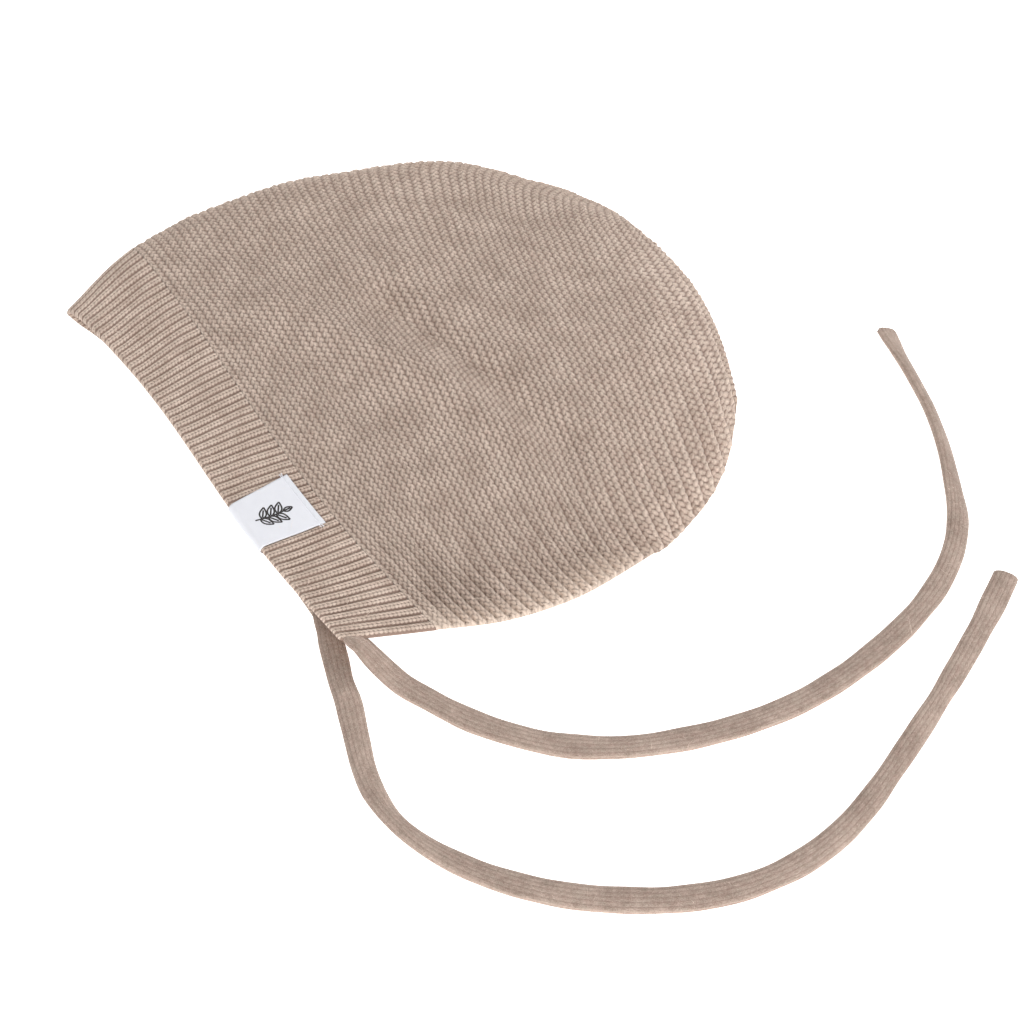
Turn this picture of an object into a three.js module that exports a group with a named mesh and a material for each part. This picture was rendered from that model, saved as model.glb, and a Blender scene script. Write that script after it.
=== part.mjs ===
// A baby's knitted bonnet, lying on its side: two layers of knit joined along the fold over the head,
// open along the face edge and the neck edge, and sewn up behind the nape.
// Millimetres. +X runs from the face edge to the back of the head, +Y from the chin to the forehead,
// +Z up from the surface that it lies on.

import * as THREE from 'three';
import { mergeVertices } from 'three/addons/utils/BufferGeometryUtils.js';

// Sizes of the bonnet as it lies
const FACE_EDGE = 165;
const DEPTH = 168;
const BAND_WIDTH = 25;
const NECK_OPENING = 128;
const BODY_WALL = 2.4;
const BAND_WALL = 2.2;
const SEAM_GAP = 0.3;

// Heights over the surface that it lies on
const FOLD_HEIGHT = 4.8;
const EDGE_HEIGHT = 10.6;
const CROWN_HEIGHT = 26;

// How far in from a closed edge each layer takes to round over
const UPPER_ROUNDING = 15;
const LOWER_ROUNDING = 7;

// Length over which the upper layer's neck edge comes down to the nape
const NAPE_CLOSING = 36;

// The lower layer stops short of the upper one, by this much along the face and at the chin
const FACE_SETBACK = 5.5;
const FACE_HOLD = 0.2;
const CHIN_SETBACK = 11.5;

// Ribs of the band, one per pair of knit and purl wales
const RIB_PITCH = 2.75;
const RIB_RELIEF = 0.6;

// Folded label over the band's front edge
const LABEL_WIDTH = 19;
const LABEL_DEPTH = 21;
const LABEL_THICKNESS = 0.5;
const LABEL_FROM_CHIN = 50;
const LABEL_CLEARANCE = 0.3;

// Flat knitted ties
const TIE_WIDTH = 7;
const TIE_THICKNESS = 2.6;
const TIE_STEP = 5.4;

// Rows of the knit, from the face edge to the last row at the back.
// depth and the X columns are shares of DEPTH, and the Y columns shares of FACE_EDGE.
// bow is how far the middle of the row stands behind the straight line between its ends,
// sway how far it swings back near the fold and forward near the neck, and
// hook how far it bends back just below the fold, so that it crosses the fold squarely.
// rise is a share of the crown's height over the open edges.
const ROWS = [
  {
    depth: 0.0, foldX: -0.034, foldY: 1.0, neckX: 0.0, neckY: 0.0,
    bow: 0.006, sway: 0.012, hook: 0.0, rise: 0.0,
  },
  {
    depth: 0.149, foldX: 0.14, foldY: 1.085, neckX: 0.144, neckY: -0.067,
    bow: -0.024, sway: 0.01, hook: 0.0, rise: 0.34,
  },
  {
    depth: 0.322, foldX: 0.346, foldY: 1.1, neckX: 0.201, neckY: -0.096,
    bow: -0.002, sway: -0.002, hook: -0.01, rise: 0.7,
  },
  {
    depth: 0.5, foldX: 0.571, foldY: 1.058, neckX: 0.31, neckY: -0.129,
    bow: -0.009, sway: -0.012, hook: -0.018, rise: 0.93,
  },
  {
    depth: 0.668, foldX: 0.811, foldY: 0.946, neckX: 0.41, neckY: -0.135,
    bow: -0.023, sway: -0.024, hook: -0.032, rise: 1.0,
  },
  {
    depth: 0.795, foldX: 0.921, foldY: 0.807, neckX: 0.548, neckY: -0.113,
    bow: -0.035, sway: -0.023, hook: -0.046, rise: 0.94,
  },
  {
    depth: 0.888, foldX: 0.974, foldY: 0.72, neckX: 0.68, neckY: -0.068,
    bow: -0.029, sway: -0.015, hook: -0.041, rise: 0.82,
  },
  {
    depth: 0.95, foldX: 0.995, foldY: 0.665, neckX: 0.78, neckY: -0.002,
    bow: -0.008, sway: -0.009, hook: -0.023, rise: 0.66,
  },
  {
    depth: 1.0, foldX: 1.003, foldY: 0.63, neckX: 0.893, neckY: 0.118,
    bow: 0.046, sway: 0.0, hook: 0.0, rise: 0.5,
  },
];
const HOOK_REACH = 0.09;

// How full the crown is along a row, from the fold to the neck edge, as shares
const FULLNESS = [
  { place: 0.0, share: 0.5 },
  { place: 0.12, share: 0.72 },
  { place: 0.3, share: 0.94 },
  { place: 0.5, share: 1.0 },
  { place: 0.68, share: 0.84 },
  { place: 0.84, share: 0.46 },
  { place: 0.94, share: 0.14 },
  { place: 1.0, share: 0.0 },
];

// Soft creases in the upper layer. Places are shares of DEPTH and of the row, from fold to neck.
// A negative drop is a raised fold.
const CREASES = [
  { fromDepth: 0.49, fromRow: 0.4, toDepth: 0.66, toRow: 0.765, width: 6.5, drop: 2.7 },
  { fromDepth: 0.3, fromRow: 0.31, toDepth: 0.57, toRow: 0.72, width: 7, drop: -1.7 },
  { fromDepth: 0.26, fromRow: 0.43, toDepth: 0.38, toRow: 0.69, width: 7.5, drop: 1.7 },
  { fromDepth: 0.57, fromRow: 0.98, toDepth: 0.67, toRow: 0.8, width: 8, drop: 1.4 },
];

// Centre lines of the ties, in millimetres from the chin corner of the upper layer
const UPPER_TIE_ROUTE = [
  [3.7, -2.4, 9.5], [3.3, -3.4, 9.4], [4.2, -6.4, 8], [6, -11.2, 5.3], [8.4, -17.8, 3.2],
  [10.8, -23.3, 2.2], [14.5, -30.3, 1.7], [19, -37.5, 1.5], [24, -45, 1.4],
  [34, -56.5, 1.4], [48, -66.5, 1.4], [64, -73.5, 1.4], [80, -78, 1.4], [96, -80.2, 1.4],
  [112, -79.8, 1.4], [129, -77.2, 1.4], [144, -73.2, 1.4], [157, -67.8, 1.4], [168, -60.8, 1.4],
  [177, -52, 1.4], [184.5, -40.5, 1.4], [191.5, -28.2, 1.4], [197.6, -15.2, 1.4],
  [202.2, -2, 1.4], [206.4, 11.5, 1.4], [210.1, 22.6, 1.4],
];
const LOWER_TIE_ROUTE = [
  [1, 9.6, 1.4], [0, 5.6, 1.4], [-1.1, 2, 1.4], [-2.4, -1.5, 1.4], [-4.2, -7.2, 1.4],
  [-5.9, -14, 1.4], [-7.7, -19.2, 1.4], [-10.5, -27, 1.4], [-13.6, -36, 1.4], [-15.4, -45, 1.4],
  [-15.2, -55, 1.4], [-12.2, -65.5, 1.4], [-6.4, -77, 1.4], [1, -87.2, 1.4], [10, -96.8, 1.4],
  [20.5, -105.2, 1.4], [33, -113, 1.4], [48, -119, 1.4], [64, -121.3, 1.4], [79, -120, 1.4],
  [92, -116.3, 1.4], [105, -111, 1.4], [121.5, -103.8, 1.4], [136, -97, 1.4],
  [149.5, -90.2, 1.4], [162.5, -83.2, 1.4], [175.6, -75.6, 1.4],
];

// A smooth curve through one column of a table, at a place counted in its rows
function column(table, key, place) {
  const last = table.length - 1;
  const index = Math.min(Math.floor(place), last - 1);
  const part = place - index;
  const slopeAt = (row) => {
    const before = Math.max(row - 1, 0);
    const after = Math.min(row + 1, last);
    return (table[after][key] - table[before][key]) / (after - before);
  };
  const square = part * part;
  const cube = square * part;
  return table[index][key] * (2 * cube - 3 * square + 1)
    + slopeAt(index) * (cube - 2 * square + part)
    + table[index + 1][key] * (3 * square - 2 * cube)
    + slopeAt(index + 1) * (cube - square);
}

// The place in a table where one of its rising columns reaches a value
function placeOf(table, key, value) {
  let low = 0;
  let high = table.length - 1;
  for (let step = 0; step < 40; step += 1) {
    const middle = (low + high) / 2;
    if (column(table, key, middle) < value) {
      low = middle;
    } else {
      high = middle;
    }
  }
  return (low + high) / 2;
}

const bandShare = BAND_WIDTH / DEPTH;
const napeShare = NECK_OPENING / DEPTH;

// Where a point of the knit lies, seen from above: a share of the depth, and a share of its row
function planPoint(depth, row) {
  const place = placeOf(ROWS, 'depth', depth);
  const foldX = column(ROWS, 'foldX', place) * DEPTH;
  const foldY = column(ROWS, 'foldY', place) * FACE_EDGE;
  const neckX = column(ROWS, 'neckX', place) * DEPTH;
  const neckY = column(ROWS, 'neckY', place) * FACE_EDGE;
  const bow = column(ROWS, 'bow', place) * DEPTH * Math.sin(Math.PI * row);
  const sway = column(ROWS, 'sway', place) * DEPTH * Math.sin(2 * Math.PI * row);
  const bent = (row / HOOK_REACH) * Math.exp(1 - row / HOOK_REACH);
  const hook = column(ROWS, 'hook', place) * DEPTH * bent;
  return {
    x: foldX + (neckX - foldX) * row + bow + sway + hook,
    y: foldY + (neckY - foldY) * row,
    rowLength: Math.hypot(neckX - foldX, neckY - foldY),
    rise: column(ROWS, 'rise', place),
  };
}

// The drop of the creases at a point of the upper layer
function creaseDrop(depth, row) {
  let drop = 0;
  for (const crease of CREASES) {
    const alongX = (crease.toDepth - crease.fromDepth) * DEPTH;
    const alongY = (crease.toRow - crease.fromRow) * FACE_EDGE;
    const pointX = (depth - crease.fromDepth) * DEPTH;
    const pointY = (row - crease.fromRow) * FACE_EDGE;
    const length = Math.hypot(alongX, alongY);
    const along = (pointX * alongX + pointY * alongY) / length;
    const aside = (pointX * alongY - pointY * alongX) / length;
    const past = Math.max(0, -along, along - length);
    drop += crease.drop * Math.exp(-((aside / crease.width) ** 2) - (past / crease.width) ** 2);
  }
  return drop;
}

// 0 on a closed edge, rising along a quarter ellipse to 1 where the rounding ends
function rounded(share) {
  const left = 1 - Math.min(Math.max(share, 0), 1);
  return Math.sqrt(1 - left * left);
}

// A point of the knit. across runs from -1 at the lower layer's neck edge, through 0 on the fold,
// to 1 at the upper layer's neck edge. inset is 0 outside and the wall inside.
function knitPoint(share, across, inset, backInset) {
  const lower = across < 0;
  const closed = share >= napeShare;
  let depth = share;
  if (backInset > 0) {
    depth = bandShare + (share - bandShare) * (1 - backInset / (DEPTH * (1 - bandShare)));
  }
  const foldInset = inset / planPoint(depth, 0).rowLength;
  const neckInset = closed ? foldInset : 0;
  let row = foldInset + Math.abs(across) * (1 - foldInset - neckInset);
  if (lower) {
    const toNape = Math.max(0, napeShare - share) * DEPTH;
    const faceHold = (4 * Math.abs(across) * (1 - Math.abs(across))) ** FACE_HOLD;
    depth += (FACE_SETBACK / DEPTH) * faceHold * (1 - share) ** 2;
    row *= 1 - (CHIN_SETBACK / FACE_EDGE) * rounded(toNape / NAPE_CLOSING);
  }
  const plan = planPoint(depth, row);
  const fromFold = row * plan.rowLength - inset;
  const fromBack = (1 - depth) * DEPTH - (backInset > 0 ? inset : 0);
  const fromNeck = Math.max(0, (1 - row) * plan.rowLength - inset);
  const fromNape = closed ? 0 : (napeShare - depth) * DEPTH - inset;
  const reach = (lower ? LOWER_ROUNDING : UPPER_ROUNDING) - inset;
  const napeReach = (lower ? LOWER_ROUNDING : NAPE_CLOSING) - inset;
  const neckShare = Math.hypot(fromNeck / reach, Math.max(0, fromNape) / napeReach);
  const spread = rounded(fromFold / reach) * rounded(fromBack / reach) * rounded(neckShare);
  if (lower) {
    return new THREE.Vector3(plan.x, plan.y, FOLD_HEIGHT - (FOLD_HEIGHT - inset) * spread);
  }
  const fullness = column(FULLNESS, 'share', placeOf(FULLNESS, 'place', Math.min(row, 1)));
  const domed = EDGE_HEIGHT + (CROWN_HEIGHT - EDGE_HEIGHT) * plan.rise * fullness;
  const top = domed - creaseDrop(depth, row) * plan.rise * fullness;
  return new THREE.Vector3(plan.x, plan.y, FOLD_HEIGHT + (top - inset - FOLD_HEIGHT) * spread);
}

// Collects triangles and drops the empty ones
function triangleList() {
  const numbers = [];
  const add = (a, b, c) => {
    const normal = new THREE.Vector3().subVectors(b, a).cross(new THREE.Vector3().subVectors(c, a));
    if (normal.length() > 1e-9) {
      numbers.push(a.x, a.y, a.z, b.x, b.y, b.z, c.x, c.y, c.z);
    }
  };
  return {
    quad(a, b, c, d) {
      add(a, c, b);
      add(a, d, c);
    },
    geometry() {
      const made = new THREE.BufferGeometry();
      made.setAttribute('position', new THREE.Float32BufferAttribute(numbers, 3));
      return mergeVertices(made, 1e-4);
    },
  };
}

// A wall between an outer and an inner grid of points, rows by columns, closed along its open edges.
// A column edge that is sewn up from a row on has no wall face there, because its two sides meet.
function walledSheet(outer, inner, sewnFrom, sewnLastRow) {
  const list = triangleList();
  const lastRow = outer.length - 1;
  const lastColumn = outer[0].length - 1;
  for (let i = 0; i < lastRow; i += 1) {
    for (let j = 0; j < lastColumn; j += 1) {
      list.quad(outer[i][j], outer[i + 1][j], outer[i + 1][j + 1], outer[i][j + 1]);
      list.quad(inner[i][j], inner[i][j + 1], inner[i + 1][j + 1], inner[i + 1][j]);
    }
    if (i < sewnFrom) {
      list.quad(inner[i][0], inner[i + 1][0], outer[i + 1][0], outer[i][0]);
      const end = lastColumn;
      list.quad(outer[i][end], outer[i + 1][end], inner[i + 1][end], inner[i][end]);
    }
  }
  for (let j = 0; j < lastColumn; j += 1) {
    list.quad(outer[0][j], outer[0][j + 1], inner[0][j + 1], inner[0][j]);
    if (!sewnLastRow) {
      list.quad(outer[lastRow][j], inner[lastRow][j], inner[lastRow][j + 1], outer[lastRow][j + 1]);
    }
  }
  return list.geometry();
}

function spaced(count, from, to, power) {
  return Array.from({ length: count + 1 }, (unused, k) => from + (to - from) * (k / count) ** power);
}

// Both layers of one row: places from the lower neck edge through the fold to the upper neck edge
function acrossPlaces(half) {
  return [...half.slice(1).reverse().map((place) => -place), ...half];
}

// The garter-stitch bag behind the band: back, sides and top of the head
function crownGeometry() {
  const openRows = 14;
  const closedRows = 11;
  const crowding = 1.8;
  const start = bandShare + SEAM_GAP / DEPTH;
  const open = spaced(openRows, start, napeShare, 1);
  const behind = spaced(closedRows, 0, 1, crowding).reverse();
  const closed = behind.map((left) => napeShare + (1 - napeShare) * (1 - left));
  const shares = [...open.slice(0, -1), ...closed];
  const nearFold = spaced(8, 0, 0.14, crowding);
  const middle = spaced(12, 0.14, 0.88, 1);
  const nearNeck = spaced(6, 0, 0.12, crowding).reverse();
  const half = [...nearFold, ...middle.slice(1), ...nearNeck.slice(1).map((left) => 1 - left)];
  const places = acrossPlaces(half);
  const outer = shares.map((share) => places.map((across) => knitPoint(share, across, 0, 0)));
  const inner = shares.map((share) => (
    places.map((across) => knitPoint(share, across, BODY_WALL, BODY_WALL))
  ));
  return walledSheet(outer, inner, openRows, true);
}

// The ribbed band round the face
function bandGeometry() {
  const ribs = Math.max(8, Math.round(FACE_EDGE / RIB_PITCH));
  const places = acrossPlaces(spaced(2 * ribs, 0, 1, 1));
  const shares = [0, bandShare / 2, bandShare];
  const outer = [];
  const inner = [];
  for (const share of shares) {
    const insideRow = places.map((across) => knitPoint(share, across, BAND_WALL, 0));
    const outsideRow = places.map((across, j) => {
      const crest = knitPoint(share, across, 0, 0);
      const sunk = j % 2 === 1 ? RIB_RELIEF / BAND_WALL : 0;
      return crest.lerp(insideRow[j], sunk);
    });
    inner.push(insideRow);
    outer.push(outsideRow);
  }
  return walledSheet(outer, inner, shares.length, false);
}

// A label folded over the front edge of the upper layer, one leaf on the ribs and one inside
function labelGeometry() {
  const leafSteps = 5;
  const foldSteps = 4;
  const widthSteps = 6;
  const list = triangleList();
  const sections = [];
  for (let j = 0; j <= widthSteps; j += 1) {
    const fromChin = LABEL_FROM_CHIN + LABEL_WIDTH * (0.5 - j / widthSteps);
    const across = 1 - fromChin / FACE_EDGE;
    const depths = spaced(leafSteps, 1, 0, 1).map((left) => (left * LABEL_DEPTH) / DEPTH);
    const above = depths.map((share) => knitPoint(share, across, 0, 0));
    const below = depths.map((share) => knitPoint(share, across, BAND_WALL, 0));
    const middle = new THREE.Vector3().addVectors(above[leafSteps], below[leafSteps]).divideScalar(2);
    const radius = (above[leafSteps].z - below[leafSteps].z) / 2;
    const section = [];
    for (const lift of [LABEL_CLEARANCE, LABEL_CLEARANCE + LABEL_THICKNESS]) {
      const line = above.map((p) => new THREE.Vector3(p.x, p.y, p.z + lift));
      for (let k = 1; k < foldSteps; k += 1) {
        const turn = Math.PI * (0.5 + k / foldSteps);
        const reach = radius + lift;
        line.push(new THREE.Vector3(
          middle.x + lift * Math.cos(turn),
          middle.y,
          middle.z + reach * Math.sin(turn),
        ));
      }
      line.push(...below.map((p) => new THREE.Vector3(p.x, p.y, p.z - lift)).reverse());
      section.push(line);
    }
    sections.push(section);
  }
  const length = sections[0][0].length;
  for (let j = 0; j < widthSteps; j += 1) {
    const [near, far] = sections[j];
    const [nextNear, nextFar] = sections[j + 1];
    for (let k = 0; k < length - 1; k += 1) {
      list.quad(far[k], nextFar[k], nextFar[k + 1], far[k + 1]);
      list.quad(near[k], near[k + 1], nextNear[k + 1], nextNear[k]);
    }
    list.quad(near[0], nextNear[0], nextFar[0], far[0]);
    list.quad(far[length - 1], nextFar[length - 1], nextNear[length - 1], near[length - 1]);
  }
  const [firstNear, firstFar] = sections[0];
  const [lastNear, lastFar] = sections[widthSteps];
  for (let k = 0; k < length - 1; k += 1) {
    list.quad(firstNear[k], firstFar[k], firstFar[k + 1], firstNear[k + 1]);
    list.quad(lastNear[k], lastNear[k + 1], lastFar[k + 1], lastFar[k]);
  }
  return list.geometry();
}

// A route along which a flat section keeps its broad side level
class LevelRoute extends THREE.CatmullRomCurve3 {
  computeFrenetFrames(segments) {
    const up = new THREE.Vector3(0, 0, 1);
    const frames = { tangents: [], normals: [], binormals: [] };
    for (let i = 0; i <= segments; i += 1) {
      const tangent = this.getTangentAt(i / segments);
      const binormal = new THREE.Vector3().crossVectors(tangent, up).normalize();
      frames.tangents.push(tangent);
      frames.binormals.push(binormal);
      frames.normals.push(new THREE.Vector3().crossVectors(binormal, tangent));
    }
    return frames;
  }
}

// A flat tie: a rounded section swept along its route
function tieGeometry(route) {
  const path = new LevelRoute(route.map(([x, y, z]) => new THREE.Vector3(x, y, z)));
  const halfThickness = TIE_THICKNESS / 2;
  const halfWidth = TIE_WIDTH / 2;
  const roundEnd = halfThickness;
  const section = new THREE.Shape([
    new THREE.Vector2(halfThickness, halfWidth - roundEnd),
    new THREE.Vector2(halfThickness / 2, halfWidth),
    new THREE.Vector2(-halfThickness / 2, halfWidth),
    new THREE.Vector2(-halfThickness, halfWidth - roundEnd),
    new THREE.Vector2(-halfThickness, roundEnd - halfWidth),
    new THREE.Vector2(-halfThickness / 2, -halfWidth),
    new THREE.Vector2(halfThickness / 2, -halfWidth),
    new THREE.Vector2(halfThickness, roundEnd - halfWidth),
  ]);
  const steps = Math.min(80, Math.round(path.getLength() / TIE_STEP));
  const made = new THREE.ExtrudeGeometry(section, { steps, bevelEnabled: false, extrudePath: path });
  made.deleteAttribute('normal');
  made.deleteAttribute('uv');
  return mergeVertices(made, 1e-4);
}

const knitBeige = new THREE.MeshStandardMaterial({ color: 0xbba99b, roughness: 0.95, metalness: 0 });
const ribBeige = new THREE.MeshStandardMaterial({ color: 0xb5a395, roughness: 0.95, metalness: 0 });
const tieBeige = new THREE.MeshStandardMaterial({ color: 0xb8a698, roughness: 0.95, metalness: 0 });
const whiteCotton = new THREE.MeshStandardMaterial({ color: 0xebebf0, roughness: 0.8, metalness: 0 });

function piece(name, geometry, material) {
  const mesh = new THREE.Mesh(geometry, material);
  mesh.name = name;
  return mesh;
}

const bonnet = new THREE.Group();
bonnet.add(piece('crown', crownGeometry(), knitBeige));
bonnet.add(piece('front_band', bandGeometry(), ribBeige));
bonnet.add(piece('label', labelGeometry(), whiteCotton));

// The origin is under the middle of the bonnet, ties left aside
const extent = new THREE.Box3().setFromObject(bonnet);
const centre = extent.getCenter(new THREE.Vector3());
bonnet.position.set(-centre.x, -centre.y, 0);

bonnet.add(piece('tie_upper', tieGeometry(UPPER_TIE_ROUTE), tieBeige));
bonnet.add(piece('tie_lower', tieGeometry(LOWER_TIE_ROUTE), tieBeige));

const group = new THREE.Group();
group.add(bonnet);

export default group;
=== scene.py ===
"""A baby's knitted bonnet lying on its side on a pale table, dressed around its solids.

Metres, in the frame of the solids: +X runs from the face edge to the back of the head, +Y from the
chin to the forehead, +Z up from the table.
"""

import math

import bpy
import numpy as np
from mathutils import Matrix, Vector


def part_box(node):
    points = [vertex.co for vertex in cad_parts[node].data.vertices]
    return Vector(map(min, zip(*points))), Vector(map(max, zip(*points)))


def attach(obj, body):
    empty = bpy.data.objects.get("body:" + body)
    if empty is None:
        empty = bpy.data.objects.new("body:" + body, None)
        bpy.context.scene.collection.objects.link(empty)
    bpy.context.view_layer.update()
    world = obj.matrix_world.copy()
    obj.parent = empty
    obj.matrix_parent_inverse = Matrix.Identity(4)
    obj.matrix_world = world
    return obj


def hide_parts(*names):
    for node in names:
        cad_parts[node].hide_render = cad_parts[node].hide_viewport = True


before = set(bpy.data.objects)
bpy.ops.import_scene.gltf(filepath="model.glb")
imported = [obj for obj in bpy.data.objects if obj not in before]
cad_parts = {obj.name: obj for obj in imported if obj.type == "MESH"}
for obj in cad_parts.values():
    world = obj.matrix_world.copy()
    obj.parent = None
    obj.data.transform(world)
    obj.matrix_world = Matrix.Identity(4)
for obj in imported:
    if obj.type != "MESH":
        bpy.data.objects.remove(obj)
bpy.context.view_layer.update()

# Sizes of the bonnet as it lies, the ones that its solids have
FACE_EDGE = 0.165
DEPTH = 0.168
BAND_WIDTH = 0.025
NECK_OPENING = 0.128
BODY_WALL = 0.0024
BAND_WALL = 0.0022
FOLD_HEIGHT = 0.0048
EDGE_HEIGHT = 0.0106
CROWN_HEIGHT = 0.026
UPPER_ROUNDING = 0.015
LOWER_ROUNDING = 0.007
NAPE_CLOSING = 0.036
FACE_SETBACK = 0.0055
FACE_HOLD = 0.45
CHIN_SETBACK = 0.0115
BAND_SHARE = BAND_WIDTH / DEPTH
NAPE_SHARE = NECK_OPENING / DEPTH

# The knit: how far apart stitches, ridges and ribs lie
STITCH = 0.0022
RIDGE = 0.00232
RIDGES = 62
RIB = 0.00262
RIB_STITCH = 0.00115
GARTER_RELIEF = 0.0011
RIB_RELIEF = 0.0008
RIB_CROWDING = 0.07
EDGE_ROUND = 0.0011

# Half the length and half the width of a garter loop, in stitches and in lines, and its slant
LOOP_LENGTH = 0.52
LOOP_WIDTH = 0.72
LOOP_SLANT = 0.22

# The two legs of a knit wale in the ribs, in half ribs and in stitches
LEG_PLACE = 0.38
LEG_WIDTH = 0.46
LEG_LENGTH = 0.56
LEG_SLANT = 0.55

# How much of the height a garter ridge as a whole makes up, over its single loops
RIDGE_SHARE = 0.33

# Sampling of the crown: points to a stitch, the least gap before a row's end in points, and the
# columns of its inside, each about so many stitches wide
SAMPLES = 4
ROW_END_GAP = 0.2
INSIDE_COLUMNS = 36
INSIDE_STITCHES = 2.4

# Where the upper layer's piece ends below the fold, and how much closer together the sampled rows
# lie where the back turns down
SPLIT = -0.035
BACK_CROWDING = 0.6
BACK_CROWDING_REACH = 0.05

# Unevenness: shifts along and over the rows, swells of the upper layer, heights of single loops
SHIFT_ALONG = 0.00026
SHIFT_OVER = 0.0002
SWELL = 0.0004
SWELL_FROM_EDGE = 0.02
SWELL_FROM_BAND = 0.012
LOOP_HEIGHTS = (0.6, 1.08)

# How far the loops are sunk into the cloth, in loop heights
UPPER_SINK = 0.7
LOWER_SINK = 1.0
STITCHES_FROM_EDGE = 0.001

# The sewn back edge: a groove beside a row of lumps
GROOVE_PLACE = 0.0024
GROOVE_WIDTH = 0.0007
GROOVE_DEPTH = 0.0006
LUMP_PLACE = 0.0011
LUMP_WIDTH = 0.0008
LUMP_HEIGHT = 0.00025
LUMP_SPACING = 0.0026

# Soft gathers by the neck edge, one to two ridges: their height and how far in they reach
GATHER_HEIGHT = 0.0008
GATHER_REACH = 0.028
GATHER_RIDGES = 4

# The painted glow of light at the neck edge fades towards the nape, where the edge counts as
# farther off, in millimetres. The inside has none.
NAPE_DIMMING = 8
DIMMING_START = 0.16
DIMMING_REACH = 0.14
NO_GLOW = 99.0

# Sampling of the band: points to a rib, rows closer together at the face, fewer rows inside
RIB_SAMPLES = 8
FACE_CROWDING = 1.25
INSIDE_EVERY = 4

# Ribs: how they wander and vary, how they flatten by the crown and at the face, and their shape
RIB_WANDER = 0.0003
RIB_VARIATION = 0.42
RIB_FADE_BACK = (0.002, 0.45)
RIB_FADE_FACE = (0.005, 0.25)
RIB_STEEPNESS = 3.4
RIB_DIP = 0.14
RIB_DIP_WIDTH = 0.16

# Label folded over the front edge, its inner leaf a little shorter
LABEL_WIDTH = 0.019
LABEL_DEPTH = 0.021
LABEL_FROM_CHIN = 0.05
LABEL_CLEARANCE = 0.00035
LABEL_THICKNESS = 0.0004
LABEL_MIDDLE = 1 - LABEL_FROM_CHIN / FACE_EDGE
INNER_LEAF = 0.96

# The sewn line across the label: a groove with two threads that stick out at the sides
LABEL_SEAM = 0.0192
LABEL_GROOVE = 0.00022
LABEL_GROOVE_WIDTH = 0.0005
THREAD_WIDTH = 0.0003
THREAD_RISE = 0.00014
THREAD_GAP = 0.00064
THREAD_WAVE = 0.00012
THREAD_STITCH = 0.0021
THREAD_END = 0.0011

# The sprig drawn on the label: its ink, its stem and its leaves
INK_WIDTH = 0.0005
INK_RISE = 0.00002
INK_CLEARANCE = 0.00004
SPRIG_START = 0.0038
SPRIG_LENGTH = 0.0112
SPRIG_BEND = 0.0009
STEM_SHARE = 0.8
LEAF_LENGTH = 0.0042
TIP_LEAF_LENGTH = 0.003
LEAF_TURN = 0.95
LEAF_BULGE = 0.24

# Loose hairs of the wool, and the share of them that is longer
UPPER_HAIRS = 5000
LOWER_HAIRS = 1500
BAND_HAIRS = 1200
TIE_HAIRS = 700
FIBRE_WIDTH = 0.00008
FIBRE_LENGTHS = (0.0008, 0.0026)
FIBRE_POINTS = 6
FIBRE_TAPER = 0.7
FIBRE_OUTWARD = 0.55
FIBRE_SCATTER = 0.5
FIBRE_CURL = 0.55
LONG_FIBRES = 0.03
LONG_FIBRE = 1.6

# Ties
TIE_WIDTH = 0.007
TIE_THICKNESS = 0.0026
TIE_WALES = 12
TIE_STITCH = 0.0015
TIE_START_ROUND = 0.0004
TIE_END_ROUND = 0.0022
TIE_SQUARENESS = 0.72
TIE_WOBBLE = 0.035
TIE_WALE_DEPTH = 0.055
OFF_TABLE = 0.0001

# Rows of the knit, from the face edge to the last row at the back: shares of DEPTH and FACE_EDGE
ROW_COLUMNS = ("depth", "fold_x", "fold_y", "neck_x", "neck_y", "bow", "sway", "hook", "rise")
ROWS = dict(zip(ROW_COLUMNS, np.array([
    (0.0, -0.034, 1.0, 0.0, 0.0, 0.006, 0.012, 0.0, 0.0),
    (0.149, 0.14, 1.085, 0.144, -0.067, -0.024, 0.01, 0.0, 0.34),
    (0.322, 0.346, 1.1, 0.201, -0.096, -0.002, -0.002, -0.01, 0.7),
    (0.5, 0.571, 1.058, 0.31, -0.129, -0.009, -0.012, -0.018, 0.93),
    (0.668, 0.811, 0.946, 0.41, -0.135, -0.023, -0.024, -0.032, 1.0),
    (0.795, 0.921, 0.807, 0.548, -0.113, -0.035, -0.023, -0.046, 0.94),
    (0.888, 0.974, 0.72, 0.68, -0.068, -0.029, -0.015, -0.041, 0.82),
    (0.95, 0.995, 0.665, 0.78, -0.002, -0.008, -0.009, -0.023, 0.66),
    (1.0, 1.003, 0.63, 0.893, 0.118, 0.046, 0.0, 0.0, 0.5),
]).T))
HOOK_REACH = 0.09

# How far the ends of the rows spread along the neck edge, away from the band, as shares
SPREAD_REACH = 0.13
SPREAD = dict(zip(("depth", "x", "y"), np.array([
    (0.0, 0.0, 0.0), (0.149, 0.0, 0.0), (0.322, 0.055, -0.019), (0.5, 0.071, -0.007),
    (0.668, 0.084, 0.009), (0.795, 0.06, 0.017), (0.888, 0.029, 0.015), (0.95, 0.018, 0.015),
    (1.0, 0.0, 0.0),
]).T))
FULLNESS = dict(zip(("place", "share"), np.array([
    (0.0, 0.5), (0.12, 0.72), (0.3, 0.94), (0.5, 1.0),
    (0.68, 0.84), (0.84, 0.46), (0.94, 0.14), (1.0, 0.0),
]).T))
CREASE_COLUMNS = ("from_depth", "from_row", "to_depth", "to_row", "width", "drop")
CREASES = [dict(zip(CREASE_COLUMNS, row)) for row in (
    (0.49, 0.4, 0.66, 0.765, 0.0062, 0.0037),
    (0.3, 0.31, 0.57, 0.72, 0.0066, -0.0026),
    (0.26, 0.43, 0.38, 0.69, 0.0075, 0.0022),
    (0.57, 0.98, 0.67, 0.8, 0.008, 0.0014),
)]

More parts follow.
